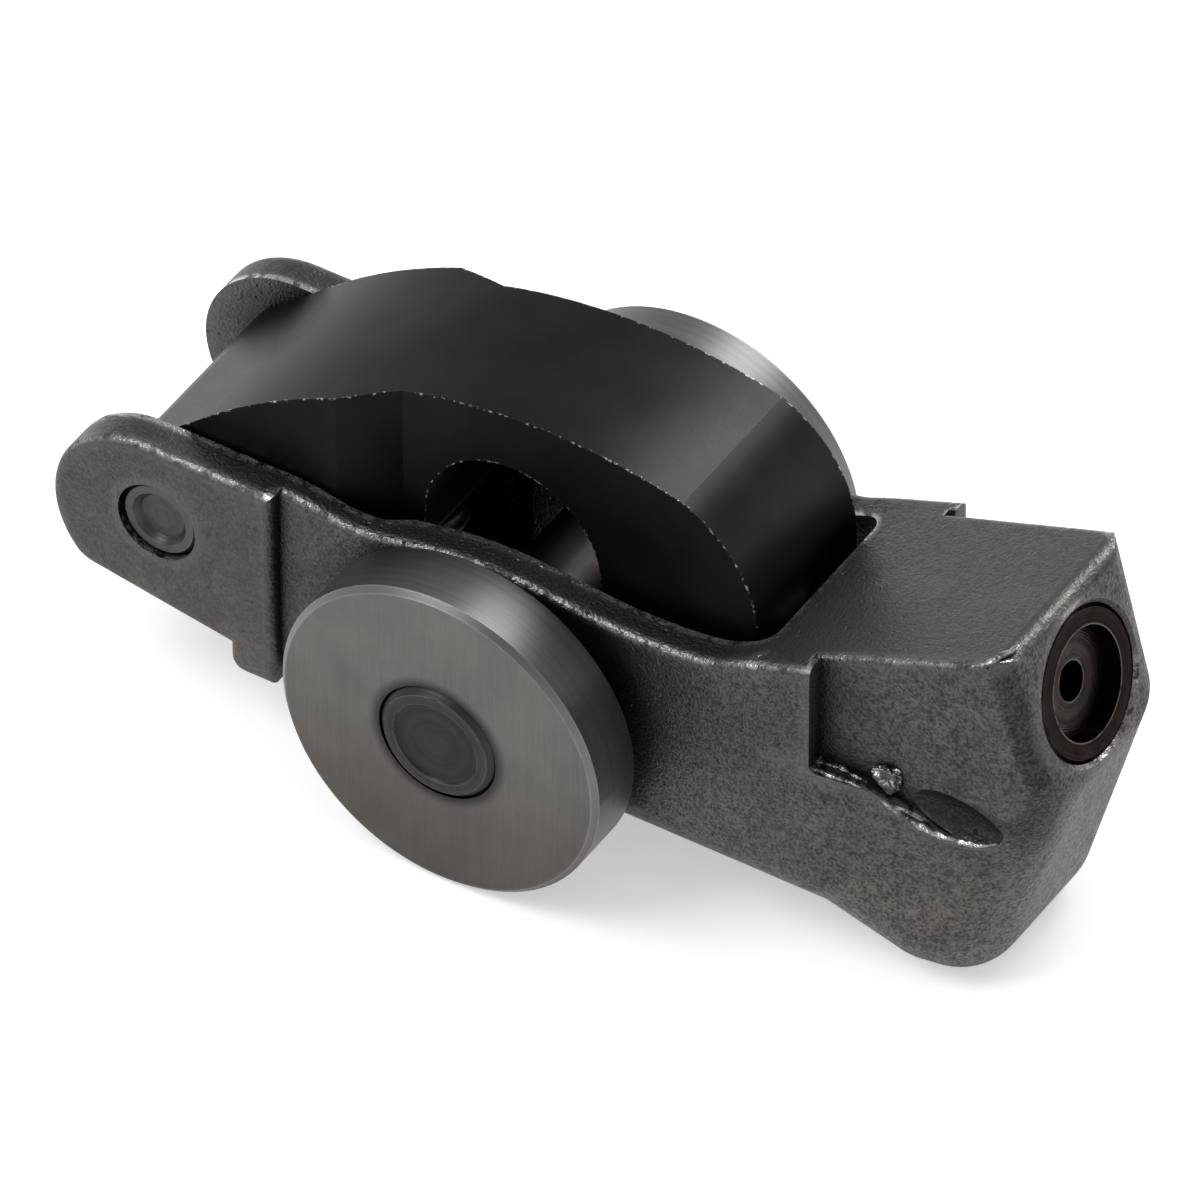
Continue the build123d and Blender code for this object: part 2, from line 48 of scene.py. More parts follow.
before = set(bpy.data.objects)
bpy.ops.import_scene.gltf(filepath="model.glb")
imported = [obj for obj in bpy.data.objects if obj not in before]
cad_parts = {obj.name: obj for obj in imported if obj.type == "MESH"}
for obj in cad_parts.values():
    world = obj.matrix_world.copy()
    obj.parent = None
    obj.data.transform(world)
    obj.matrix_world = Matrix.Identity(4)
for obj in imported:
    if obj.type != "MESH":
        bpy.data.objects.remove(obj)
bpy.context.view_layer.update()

# Places that the solids give, in metres
AXLE = sum(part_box("roller_axle"), Vector()) / 2
PIVOT = sum(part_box("pivot_pin"), Vector()) / 2
PLUG = sum(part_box("latch_plug"), Vector()) / 2
SIDES = ("near", "far")
NEEDLES = sorted(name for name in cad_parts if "_needle_" in name)

# The latch bore's axis, pointing inwards, and places on it in metres from the plug's middle
BORE_LEAN = math.radians(16.5)
BORE_AXIS = Vector((-math.cos(BORE_LEAN), 0.0, -math.sin(BORE_LEAN)))
LATCH_SPRING_START = 0.00455
LATCH_SPRING_LENGTH = 0.00405

# Turns of each spring
LEVER_SPRING_TURNS = 4.0
LATCH_SPRING_TURNS = 3.0

# Zones of the casting's skin in metres, each from where a change starts to where it ends
EAR_SKIN_X = (-0.0145, -0.0095)
BLOCK_TOP_X = (0.0095, 0.0125)
RECESS_START_X = (0.0105, 0.0108)
RECESS_FADE_X = (0.0125, 0.0190)
RECESS_FACE_Y = (0.0057, 0.0061)
END_CORNER_X = (0.0205, 0.0225)
END_CORNER_Z = (0.008, 0.011)
LOWER_FLANK_Z = (0.001, 0.012)

# Zones of the rollers and pins in metres: radii, among them where the roller's face gets painted shade by
# the axle, and the heights from the axle's middle over which the faces turn darker towards the bottom
COLLAR_RADIUS = (0.0031, 0.0038)
RIM_RADIUS = (0.005, 0.006)
LOWER_TONE_HEIGHT = (-0.0085, 0.003)
AXLE_DISH = (0.0022, 0.0029)
PIN_DISH = (0.0014, 0.0019)
PLUG_CUP_RADIUS = (0.0024, 0.0029)

# Bare metal on the edges of the pins and the plug, as linear light
PIN_EDGE = (0.30, 0.29, 0.27, 1.0)
PLUG_EDGE = (0.16, 0.14, 0.13, 1.0)
WHITE = (1.0, 1.0, 1.0, 1.0)

# Flaws of the near side: name, radius in millimetres, then points in millimetres from the axle's middle
BEADS = (
    ("ledge_rim", 0.13, ((14.0, -6.55, 2.72), (15.6, -6.5, 2.68), (17.4, -6.45, 2.74), (19.6, -6.35, 2.7))),
    ("ledge_rubble", 0.16, (
        (14.3, -5.85, 2.72), (16.0, -6.05, 2.72), (17.6, -5.8, 2.74), (19.4, -5.95, 2.72))),
    ("hollow_lip", 0.25, (
        (20.2, -6.3, 2.5), (21.2, -6.15, 1.85), (22.4, -5.95, 1.4),
        (23.8, -5.75, 1.2), (25.2, -5.55, 1.35), (26.2, -5.4, 1.9))),
    ("corner_nick", 0.21, (
        (24.7, -5.45, 12.0), (25.2, -5.25, 12.25), (25.6, -4.6, 12.45), (26.0, -3.7, 12.6))),
    ("step_nick", 0.16, ((13.3, -6.35, 7.1), (14.0, -6.1, 7.5), (14.6, -5.7, 7.85))),
)
BEAD_LUMP_SIZE = 0.00055
HOLLOW_CENTRE = (23.4, -5.0, 2.75)
HOLLOW_RADII = (3.7, 0.8, 1.3)
LUMP_CENTRE = (20.4, -5.66, 3.3)
LUMP_RADII = (0.75, 0.5, 0.65)
LUMP_DIMPLE = Vector((0.1, -0.95, 0.2)).normalized()
DIMPLE_WIDTH = 0.75

# Lamps: name, place and size in metres, and power in watts
LAMPS = (
    ("key lamp", (-0.28, -0.30, 0.52), 0.36, 2.0),
    ("back lamp", (0.06, 0.45, 0.46), 0.30, 1.7),
)
FLOOR_SIZE = 3.0
FLOOR_GLOW = 0.45
SKY_RISE = (0.12, 0.5)

# Kinds of node socket
FLOAT = "NodeSocketFloat"
VECTOR = "NodeSocketVector"
ROTATION = "NodeSocketRotation"
GEOMETRY = "NodeSocketGeometry"
MATERIAL = "NodeSocketMaterial"


def spot(x, y, z):
    """A place given in millimetres from the roller axle's middle."""
    return AXLE + Vector((x, y, z)) / 1000


# Properties

def colour(name, description, default):
    """A colour property, written as linear light."""
    return bpy.props.FloatVectorProperty(
        name=name, description=description, default=default, size=3, subtype="COLOR", min=0.0, max=1.0)


def share(name, description, default):
    """A property from 0 to 1."""
    return bpy.props.FloatProperty(
        name=name, description=description, default=default, min=0.0, max=1.0, subtype="FACTOR")


def length(name, description, default):
    """A length in metres."""
    return bpy.props.FloatProperty(
        name=name, description=description, default=default, min=0.0, precision=5,
        unit="LENGTH", subtype="DISTANCE")


def angle(name, description, degrees):
    """An angle, given in degrees."""
    return bpy.props.FloatProperty(
        name=name, description=description, default=math.radians(degrees), subtype="ANGLE")


class ROCKER_PG_casting(bpy.types.PropertyGroup):
    """Finish and flaws of the cast outer arm."""

    dark: colour("Hollows", "Colour of the blasted grain's hollows", (0.035, 0.032, 0.030))
    light: colour("Grain", "Colour of the grain's tops", (0.093, 0.087, 0.082))
    # Painted shade in the corners, recess and hollow, and the real colour of the pores
    pores_and_shade: colour("Pores and painted shade", "Colour of the film in the inner corners", (0.018, 0.016, 0.015))
    # Also colours the block's top lighter as painted light, besides the rubbed smooth skin
    smooth: colour("Smooth skin", "Colour where the skin is rubbed smooth", (0.118, 0.112, 0.106))
    # Worn bare metal, and also a painted highlight on the casting's edges that face up
    rubbed: colour("Rubbed edge", "Bare metal on rubbed edges", (0.42, 0.405, 0.39))
    grain: length("Grain size", "Size of one grain of the blasted skin", 0.00020)
    edge: length("Edge width", "Width of the rubbed edges", 0.00060)
    reach: length("Painted shade reach", "How far the dark film reaches out of a corner", 0.0022)
    roughness: share("Roughness", "Roughness of the blasted skin", 0.48)
    ragged: length("Raggedness", "How far the flaws' skin goes in and out", 0.00016)


class ROCKER_PG_lever(bpy.types.PropertyGroup):
    """Finish of the inner lever."""

    side: colour("Sides", "Colour of the coated sides", (0.0130, 0.0130, 0.0134))
    # Painted light: the top is coloured lighter than the sides, as light falls on it; its lower roughness
    # is real polish
    top: colour("Top", "Colour of the coated top, which the cam has polished", (0.030, 0.030, 0.0315))
    bare_and_highlight: colour("Chipped edge", "Metal that shows at chipped edges", (0.42, 0.42, 0.41))
    edge: length("Edge width", "Width of the chipped edges", 0.00012)
    roughness: share("Roughness", "Roughness of the coating", 0.3)


class ROCKER_PG_rollers(bpy.types.PropertyGroup):
    """Finish of the rollers."""

    face: colour("Face", "Colour of the ground side faces", (0.128, 0.122, 0.116))
    # Colour that the faces turn to towards the bottom
    lower_tone: colour("Lower tone", "Colour of the darker tone low on the faces", (0.082, 0.073, 0.065))
    tread: colour("Tread", "Colour of the polished tread", (0.180, 0.180, 0.182))
    bright: colour("Edge", "Colour of the broken edges", (0.40, 0.39, 0.37))
    line: length("Grinding line", "Width of one grinding line on the side faces", 0.00004)


class ROCKER_PG_hardware(bpy.types.PropertyGroup):
    """Finish of the pins, plug, washers, needles and springs, and the springs' sizes."""

    axle: colour("Axle ends", "Colour of the axle's ends", (0.033, 0.030, 0.029))
    pin: colour("Pin ends", "Colour of the pivot pin's ends", (0.060, 0.056, 0.052))
    plug: colour("Plug", "Colour of the dark turned plug", (0.026, 0.022, 0.021))
    wire: colour("Wire", "Colour of the springs' wire", (0.10, 0.10, 0.10))
    needle: colour("Ground steel", "Colour of the needles and washers", (0.22, 0.215, 0.21))
    turning: length("Turning line", "Distance between turning lines", 0.00012)
    lever_coil: length("Lever spring coil", "Radius of the lost-motion spring's coil", 0.00275)
    lever_wire: length("Lever spring wire", "Thickness of the lost-motion spring's wire", 0.0011)
    latch_coil: length("Latch spring coil", "Radius of the latch spring's coil", 0.0028)
    latch_wire: length("Latch spring wire", "Thickness of the latch spring's wire", 0.00055)


class ROCKER_PG_stage(bpy.types.PropertyGroup):
    """Camera, floor and light."""

    azimuth: angle("Azimuth", "Camera's turn from the front", 32.13)
    elevation: angle("Elevation", "Camera's height above the horizon", 42.26)
    distance: length("Distance", "Camera's distance from the roller axle", 0.9129)
    lens: bpy.props.FloatProperty(
        name="Lens", description="Focal length on a 36 mm sensor, in millimetres",
        default=600.0, subtype="DISTANCE_CAMERA")
    aside: length("Aside", "How far the camera looks to the right of the axle", 0.0012561)
    below: length("Below", "How far the camera looks below the axle", 0.0000938)
    sky: share("Sky", "Brightness of the studio above the horizon", 0.5)
    horizon: share("Horizon", "Brightness of the studio near the horizon", 1.0)
    floor: share("Floor", "Colour of the floor", 0.86)


# Node helpers

class Nodes:
    """Short way to add and join the nodes of one tree."""

    def __init__(self, tree):
        self.tree = tree

    def add(self, kind, inputs=None, **settings):
        """A node with its settings, and its inputs set or joined by name or number."""
        node = self.tree.nodes.new(kind)
        for key, value in settings.items():
            setattr(node, key, value)
        for key, value in (inputs or {}).items():
            self.give(node.inputs[key], value)
        return node

    def give(self, socket, value):
        """Join a socket to an output, or set it to a value."""
        if isinstance(value, bpy.types.NodeSocket):
            self.tree.links.new(value, socket)
        else:
            socket.default_value = value

    def maths(self, operation, *values, clamp=False):
        """A Math node's result."""
        inputs = dict(enumerate(values))
        return self.add("ShaderNodeMath", inputs, operation=operation, use_clamp=clamp).outputs[0]

    def times(self, first, second):
        """Two values multiplied."""
        return self.maths("MULTIPLY", first, second)

    def opposite(self, value):
        """What is left of 1 when a value is taken away."""
        return self.maths("SUBTRACT", 1.0, value)

    def scale(self, size):
        """The texture scale that gives features of a size."""
        return self.maths("DIVIDE", 1.0, size)

    def vector(self, operation, *values):
        """A Vector Math node."""
        return self.add("ShaderNodeVectorMath", dict(enumerate(values)), operation=operation)

    def blend(self, factor, first, second, kind="MIX"):
        """A mix of two colours."""
        node = self.add("ShaderNodeMix", {0: factor}, data_type="RGBA", blend_type=kind, clamp_factor=True)
        self.give(node.inputs[6], first)
        self.give(node.inputs[7], second)
        return node.outputs[2]

    def shade(self, tint, tone):
        """A colour made lighter or darker by a value."""
        grey = self.add("ShaderNodeCombineColor", {i: tone for i in range(3)}).outputs[0]
        return self.blend(1.0, tint, grey, "MULTIPLY")

    def between(self, value, low, high, to_low=0.0, to_high=1.0):
        """A smooth step of a value from one range to another."""
        inputs = {0: value, 1: low, 2: high, 3: to_low, 4: to_high}
        return self.add("ShaderNodeMapRange", inputs, interpolation_type="SMOOTHSTEP").outputs[0]

    def noise(self, vector, scale, detail=2.0, roughness=0.5):
        """A noise value from 0 to 1."""
        inputs = {"Vector": vector, "Scale": scale, "Detail": detail, "Roughness": roughness}
        return self.add("ShaderNodeTexNoise", inputs).outputs["Fac"]

    def parts(self, vector):
        """The three parts of a vector."""
        return self.add("ShaderNodeSeparateXYZ", {0: vector}).outputs


def rgba(value):
    """A colour property with its alpha."""
    return (*value, 1.0)


def new_group(name, inputs, outputs, kind="ShaderNodeTree"):
    """A node group with named sockets; returns its tree, helper, input node and output node."""
    tree = bpy.data.node_groups.new(name, kind)
    for label, socket_kind, default in inputs:
        socket = tree.interface.new_socket(label, in_out="INPUT", socket_type=socket_kind)
        if default is not None:
            socket.default_value = default
    for label, socket_kind in outputs:
        tree.interface.new_socket(label, in_out="OUTPUT", socket_type=socket_kind)
    nodes = Nodes(tree)
    return tree, nodes, nodes.add("NodeGroupInput"), nodes.add("NodeGroupOutput")


# Effects that several materials share

def blasted_skin_group():
    """Grain of a blasted casting: its tops and hollows, broad patches, sparse pores and a height."""
    tree, n, given, out = new_group(
        "Blasted skin",
        [("Vector", VECTOR, None), ("Grain size", FLOAT, 0.0003)],
        [("Grain", FLOAT), ("Patches", FLOAT), ("Pores", FLOAT), ("Height", FLOAT)])
    place = given.outputs["Vector"]
    scale = n.scale(given.outputs["Grain size"])
    coarse = n.noise(place, n.times(scale, 0.5), 2.0, 0.6)
    fine = n.noise(place, n.times(scale, 1.3), 1.0, 0.5)
    mixed = n.maths("ADD", n.times(coarse, 0.4), n.times(fine, 0.6))
    cells = n.add("ShaderNodeTexVoronoi", {"Vector": place, "Scale": n.times(scale, 0.36)}, feature="F1")
    few = n.between(n.noise(place, n.times(scale, 0.2), 1.0), 0.46, 0.6)
    pores = n.times(n.between(cells.outputs["Distance"], 0.1, 0.24, 1.0, 0.0), few)
    patches = n.between(n.noise(place, n.times(scale, 0.075), 3.0, 0.55), 0.38, 0.64)
    n.give(out.inputs["Grain"], n.between(mixed, 0.33, 0.65))
    n.give(out.inputs["Patches"], patches)
    n.give(out.inputs["Pores"], pores)
    n.give(out.inputs["Height"], n.maths("SUBTRACT", mixed, n.times(pores, 0.6)))
    return tree


def rubbed_edge_group():
    """Mask of outer edges, sharp or rounded, broken up along their length."""
    tree, n, given, out = new_group(
        "Rubbed edge",
        [("Vector", VECTOR, None), ("Width", FLOAT, 0.0002),
         ("Break-up", FLOAT, 0.5), ("Patch size", FLOAT, 0.001)],
        [("Mask", FLOAT)])
    width = {"Distance": given.outputs["Width"]}
    inside = n.add("ShaderNodeAmbientOcclusion", width, samples=8, inside=True)
    edge = n.between(n.opposite(inside.outputs["AO"]), 0.09, 0.28)
    patch = n.noise(given.outputs["Vector"], n.scale(given.outputs["Patch size"]), 5.0, 0.65)
    low = n.times(given.outputs["Break-up"], 0.8)
    worn = n.between(patch, low, n.maths("ADD", low, 0.1))
    n.give(out.inputs["Mask"], n.times(edge, worn))
    return tree


def painted_corner_shade_group():
    """Mask of inner corners, for painted shade where shade falls."""
    tree, n, given, out = new_group("Painted corner shade", [("Reach", FLOAT, 0.0015)], [("Mask", FLOAT)])
    corner = n.add("ShaderNodeAmbientOcclusion", {"Distance": given.outputs["Reach"]}, samples=8)
    n.give(out.inputs["Mask"], n.between(n.opposite(corner.outputs["AO"]), 0.06, 0.5))
    return tree


def grinding_lines_group():
    """Long fine lines along one axis, with faint broad bands."""
    tree, n, given, out = new_group(
        "Grinding lines",
        [("Vector", VECTOR, None), ("Line width", FLOAT, 0.00005), ("Length", FLOAT, 0.01)],
        [("Tone", FLOAT), ("Height", FLOAT)])
    across = n.scale(given.outputs["Line width"])
    along = n.scale(given.outputs["Length"])
    stretch = n.add("ShaderNodeCombineXYZ", {0: across, 1: across, 2: along}).outputs[0]
    place = n.vector("MULTIPLY", given.outputs["Vector"], stretch).outputs[0]
    fine = n.noise(place, 1.0, 2.0, 0.6)
    broad = n.noise(place, 0.08, 2.0, 0.5)
    tone = n.maths("ADD", n.times(fine, 0.75), n.times(broad, 0.25))
    n.give(out.inputs["Tone"], n.between(tone, 0.3, 0.7))
    n.give(out.inputs["Height"], fine)
    return tree


def turning_lines_group():
    """Rings round an axis, as a lathe leaves them, smudged a little."""
    tree, n, given, out = new_group(
        "Turning lines",
        [("Radius", FLOAT, 0.0), ("Pitch", FLOAT, 0.0001), ("Vector", VECTOR, None)],
        [("Tone", FLOAT), ("Height", FLOAT)])
    turns = n.maths("DIVIDE", given.outputs["Radius"], given.outputs["Pitch"])
    ring = n.maths("SINE", n.times(turns, 2 * math.pi))
    one_way = {"W": turns, "Scale": 0.35, "Detail": 2.0}
    band = n.add("ShaderNodeTexNoise", one_way, noise_dimensions="1D").outputs["Fac"]
    smudge = n.noise(given.outputs["Vector"], 900.0, 3.0, 0.6)
    tone = n.maths("ADD", n.times(band, 0.6), n.times(smudge, 0.4))
    n.give(out.inputs["Tone"], n.between(tone, 0.3, 0.7))
    n.give(out.inputs["Height"], n.maths("ADD", n.times(ring, 0.2), band))
    return tree


SHARED = {
    "Blasted skin": blasted_skin_group,
    "Rubbed edge": rubbed_edge_group,
    "Painted corner shade": painted_corner_shade_group,
    "Grinding lines": grinding_lines_group,
    "Turning lines": turning_lines_group,
}


def shared(nodes, name, inputs):
    """A shared effect placed in a material, with this material's own values."""
    node = nodes.add("ShaderNodeGroup", node_tree=bpy.data.node_groups.get(name) or SHARED[name]())
    for key, value in inputs.items():
        nodes.give(node.inputs[key], value)
    return node


def rubbed_edge(nodes, place, width, break_up, patch_size):
    """The mask of a material's rubbed edges."""
    inputs = {"Vector": place, "Width": width, "Break-up": break_up, "Patch size": patch_size}
    return shared(nodes, "Rubbed edge", inputs).outputs["Mask"]


def painted_corner_shade(nodes, reach):
    """The mask of a material's inner corners, for painted shade."""
    return shared(nodes, "Painted corner shade", {"Reach": reach}).outputs["Mask"]


def new_material(name, metallic=1.0):
    """A material with one shader; returns it with its helper, its shader and the object's coordinates."""
    material = bpy.data.materials.new(name)
    material.use_nodes = True
    material.node_tree.nodes.clear()
    nodes = Nodes(material.node_tree)
    shader = nodes.add("ShaderNodeBsdfPrincipled", {"Metallic": metallic})
    nodes.add("ShaderNodeOutputMaterial", {"Surface": shader.outputs[0]})
    place = nodes.add("ShaderNodeTexCoord").outputs["Object"]
    return material, nodes, shader, place


def object_normal(nodes):
    """The three parts of the surface's direction on the object."""
    return nodes.parts(nodes.add("ShaderNodeTexCoord").outputs["Normal"])


def bump(nodes, shader, height, distance):
    """Give a shader its fine relief."""
    inputs = {"Height": height, "Distance": distance}
    nodes.give(shader.inputs["Normal"], nodes.add("ShaderNodeBump", inputs).outputs[0])


def radius_about(nodes, place, centre, axis):
    """Distance from an axis through a point."""
    local = nodes.vector("SUBTRACT", place, tuple(centre)).outputs[0]
    along = nodes.vector("DOT_PRODUCT", local, tuple(axis)).outputs["Value"]
    size = nodes.vector("LENGTH", local).outputs["Value"]
    square = nodes.maths("SUBTRACT", nodes.times(size, size), nodes.times(along, along))
    return nodes.maths("SQRT", nodes.maths("MAXIMUM", square, 0.0))


# Zones of the casting's skin

def smooth_lit_top_zone(n, x, up):
    """Mask of the block's smoother top, which is also coloured lighter as painted light."""
    return n.times(n.between(x, *BLOCK_TOP_X), n.between(up, 0.6, 0.85))


def recess_zone(n, x, y, up):
    """Mask of painted shade on the recess's wall, which fades away from its step."""
    by_step = n.times(n.between(x, *RECESS_START_X), n.between(x, *RECESS_FADE_X, 1.0, 0.0))
    sunk = n.between(n.maths("ABSOLUTE", y), *RECESS_FACE_Y, 1.0, 0.0)
    return n.times(n.times(by_step, sunk), n.between(up, 0.3, 0.6, 0.7, 0.0))


def hollow_zone(n, place):
    """Mask of the hollow beside the ledge, where shade is painted."""
    local = n.vector("SUBTRACT", place, tuple(spot(*HOLLOW_CENTRE))).outputs[0]
    local = n.vector("DIVIDE", local, tuple(radius / 1000 for radius in HOLLOW_RADII)).outputs[0]
    return n.between(n.vector("LENGTH", local).outputs["Value"], 0.75, 1.0, 1.0, 0.0)


def end_corner_zone(n, x, z, across):
    """Mask of the rounded upright corners of the block's end."""
    turned = n.times(n.between(across, 0.3, 0.45), n.between(across, 0.78, 0.9, 1.0, 0.0))
    return n.times(turned, n.times(n.between(x, *END_CORNER_X), n.between(z, *END_CORNER_Z)))


# Materials

def casting_material(p):
    """Blasted cast steel: fine speckle, sparse pores, painted shade in the corners, recess and hollow,
    rubbed edges with a painted highlight on top, and a smoother block whose top is painted lighter.
    """
    material, n, shader, place = new_material("blasted cast steel", 0.9)
    x, y, z = n.parts(place)[:3]
    normal = object_normal(n)
    up = normal[2]
    skin = shared(n, "Blasted skin", {"Vector": place, "Grain size": p.grain})
    rub = rubbed_edge(n, place, p.edge, 0.52, 0.0006)
    soft_rub = rubbed_edge(n, place, 1.7 * p.edge, 0.3, 0.0016)
    smooth_lit_top = smooth_lit_top_zone(n, x, up)

    # Speckle, patches and pores, calmer on the ears
    liveliness = n.between(x, *EAR_SKIN_X, 0.4, 1.0)
    grain = n.times(n.maths("SUBTRACT", skin.outputs["Grain"], 0.55), liveliness)
    grain = n.maths("ADD", 0.55, grain)
    base = n.blend(grain, rgba(p.dark), rgba(p.light))
    base = n.shade(base, n.between(skin.outputs["Patches"], 0.0, 1.0, 0.92, 1.08))
    base = n.blend(n.times(skin.outputs["Pores"], n.times(liveliness, 0.6)), base, rgba(p.pores_and_shade))

    # Smooth block top with painted light on it, painted shade in the recess and hollow, darker end corners
    # and a paler lower flank
    # Painted light: the block's top is coloured lighter; its lower roughness and calmer bump are real
    base = n.blend(n.times(smooth_lit_top, 0.55), base, rgba(p.smooth))
    # Painted shade: the recess wall by its step and the hollow are darkened where shade falls
    painted_shade = n.maths("MAXIMUM", recess_zone(n, x, y, up), n.times(hollow_zone(n, place), 0.75))
    base = n.blend(painted_shade, base, rgba(p.pores_and_shade))
    corner = end_corner_zone(n, x, z, n.maths("ABSOLUTE", normal[1]))
    base = n.shade(base, n.opposite(n.times(corner, 0.45)))
    base = n.shade(base, n.between(z, *LOWER_FLANK_Z, 1.5, 1.0))

    # Soft wear, painted shade in the inner corners, then worn bright metal with a painted highlight on the
    # edges that face up
    base = n.blend(n.times(soft_rub, 0.4), base, rgba(p.smooth))
    base = n.blend(n.times(painted_corner_shade(n, p.reach), 0.85), base, rgba(p.pores_and_shade))
    # Painted highlight over real wear: bright metal kept to edges that face up, where light catches the
    # ridges
    bare_and_highlight = n.times(rub, n.between(up, 0.25, 0.6))
    n.give(shader.inputs["Base Color"], n.blend(bare_and_highlight, base, rgba(p.rubbed)))

    rough = n.maths("ADD", p.roughness, n.times(n.maths("SUBTRACT", 0.5, grain), 0.12))
    rough = n.maths("SUBTRACT", rough, n.times(bare_and_highlight, 0.2))
    n.give(shader.inputs["Roughness"], n.maths("SUBTRACT", rough, n.times(smooth_lit_top, 0.06)))
    calm = n.opposite(n.times(smooth_lit_top, 0.45))
    bump(n, shader, n.times(skin.outputs["Height"], calm), 0.00008)
    return material


def lever_material(p):
    """Satin black coating, polished on top, with its top coloured lighter than its sides as painted light,
    and chipped to bright metal along its edges.
    """
    material, n, shader, place = new_material("satin black coating")
    n.give(shader.inputs["Specular Tint"], (0.69, 0.69, 0.70, 1.0))
    up = object_normal(n)[2]
    chips = rubbed_edge(n, place, p.edge, 0.66, 0.0003)
    scuffs = shared(n, "Grinding lines", {"Vector": place, "Line width": 0.00018, "Length": 0.02})
    # Painted light: the colour goes from the darker sides to the lighter top by how far the surface faces
    # up
    base = n.blend(n.between(up, 0.05, 0.75), rgba(p.side), rgba(p.top))
    base = n.shade(base, n.between(n.noise(place, 260.0, 3.0, 0.5), 0.3, 0.7, 0.88, 1.14))
    n.give(shader.inputs["Base Color"], n.blend(chips, base, rgba(p.bare_and_highlight)))
    rough = n.between(up, 0.1, 0.8, p.roughness + 0.2, p.roughness)
    n.give(shader.inputs["Roughness"], n.maths("ADD", rough, n.times(scuffs.outputs["Tone"], 0.04)))
    bump(n, shader, n.noise(place, 4000.0, 2.0), 0.000003)
    return material


def roller_material(p):
    """Ground roller: upright lines on its faces, which turn darker towards the bottom and have painted
    shade by the axle, a polished tread with painted shade near the wall, and bright edges.
    """
    material, n, shader, place = new_material("ground roller steel")
    lines = shared(n, "Grinding lines", {"Vector": place, "Line width": p.line, "Length": 0.003})
    face = n.between(n.maths("ABSOLUTE", object_normal(n)[1]), 0.55, 0.85)
    radius = radius_about(n, place, AXLE, (0, 1, 0))

    faint = n.between(n.noise(place, 260.0, 4.0, 0.6), 0.32, 0.68, 0.9, 1.06)
    tone = n.times(n.between(lines.outputs["Tone"], 0.0, 1.0, 0.93, 1.05), faint)
    # The faces turn darker and browner towards the bottom
    fade_low, fade_high = (AXLE.z + height for height in LOWER_TONE_HEIGHT)
    lower_fade = n.between(n.parts(place)[2], fade_low, fade_high, 0.85, 0.0)
    ground = n.blend(lower_fade, rgba(p.face), rgba(p.lower_tone))
    # Painted shade: the face is darkened next to the axle, where shade falls in the gap between roller and
    # axle
    ground = n.shade(ground, n.times(tone, n.between(radius, *COLLAR_RADIUS, 0.3, 1.0)))

    # Painted shade: the tread is darkened near the arm's wall and other parts, where shade falls
    tread = n.shade(rgba(p.tread), n.opposite(n.times(painted_corner_shade(n, 0.006), 0.8)))
    across = n.vector("MULTIPLY", place, (60.0, 4200.0, 60.0)).outputs[0]
    tread = n.shade(tread, n.between(n.noise(across, 1.0, 3.0, 0.6), 0.3, 0.7, 0.86, 1.08))

    worn = n.times(rubbed_edge(n, place, 0.00014, 0.4, 0.002), n.between(radius, *RIM_RADIUS))
    base = n.blend(face, tread, ground)
    n.give(shader.inputs["Base Color"], n.blend(worn, base, rgba(p.bright)))
    n.give(shader.inputs["Roughness"], n.between(face, 0.0, 1.0, 0.4, 0.38))
    bump(n, shader, n.times(lines.outputs["Height"], face), 0.000004)
    return material


def pin_material(name, centre, tint, dish, p):
    """Pin with a turned end: a dark dish, a paler ring and rubbed edges."""
    core, rim = dish
    material, n, shader, place = new_material(name)
    radius = radius_about(n, place, centre, (0, 1, 0))
    turned = shared(n, "Turning lines", {"Radius": radius, "Pitch": p.turning, "Vector": place})
    rub = rubbed_edge(n, place, 0.00012, 0.5, 0.0014)
    ring = n.times(n.between(radius, core, core + 0.0003), n.between(radius, rim, rim + 0.00025, 1.0, 0.0))
    base = n.shade(rgba(tint), n.between(turned.outputs["Tone"], 0.0, 1.0, 0.85, 1.12))
    base = n.blend(n.times(ring, 0.3), base, rgba(tuple(2.0 * part for part in tint)))
    n.give(shader.inputs["Base Color"], n.blend(n.times(rub, 0.7), base, PIN_EDGE))
    n.give(shader.inputs["Roughness"], n.between(turned.outputs["Tone"], 0.0, 1.0, 0.46, 0.36))
    bump(n, shader, turned.outputs["Height"], 0.000005)
    return material


def plug_material(p):
    """Dark turned plug with rings round its bore axis and thin bright edges."""
    material, n, shader, place = new_material("dark turned plug")
    n.give(shader.inputs["Specular Tint"], (0.5, 0.48, 0.47, 1.0))
    radius = radius_about(n, place, PLUG, BORE_AXIS)
    turned = shared(n, "Turning lines", {"Radius": radius, "Pitch": p.turning, "Vector": place})
    rub = rubbed_edge(n, place, 0.00012, 0.48, 0.0015)
    base = n.shade(rgba(p.plug), n.between(turned.outputs["Tone"], 0.0, 1.0, 0.7, 1.3))
    base = n.shade(base, n.between(radius, *PLUG_CUP_RADIUS, 1.5, 0.6))
    n.give(shader.inputs["Base Color"], n.blend(n.times(rub, 0.6), base, PLUG_EDGE))
    n.give(shader.inputs["Roughness"], n.between(turned.outputs["Tone"], 0.0, 1.0, 0.36, 0.24))
    bump(n, shader, turned.outputs["Height"], 0.000012)
    return material


def ground_material(name, tint, roughness):
    """Plain ground or drawn steel, a little uneven."""
    material, n, shader, place = new_material(name)
    tone = n.between(n.noise(place, 1800.0, 3.0, 0.6), 0.3, 0.7, 0.8, 1.15)
    n.give(shader.inputs["Base Color"], n.shade(rgba(tint), tone))
    rough = n.between(n.noise(place, 700.0, 2.0), 0.3, 0.7, roughness, roughness + 0.1)
    n.give(shader.inputs["Roughness"], rough)
    bump(n, shader, n.noise(place, 6000.0, 2.0), 0.000004)
    return material


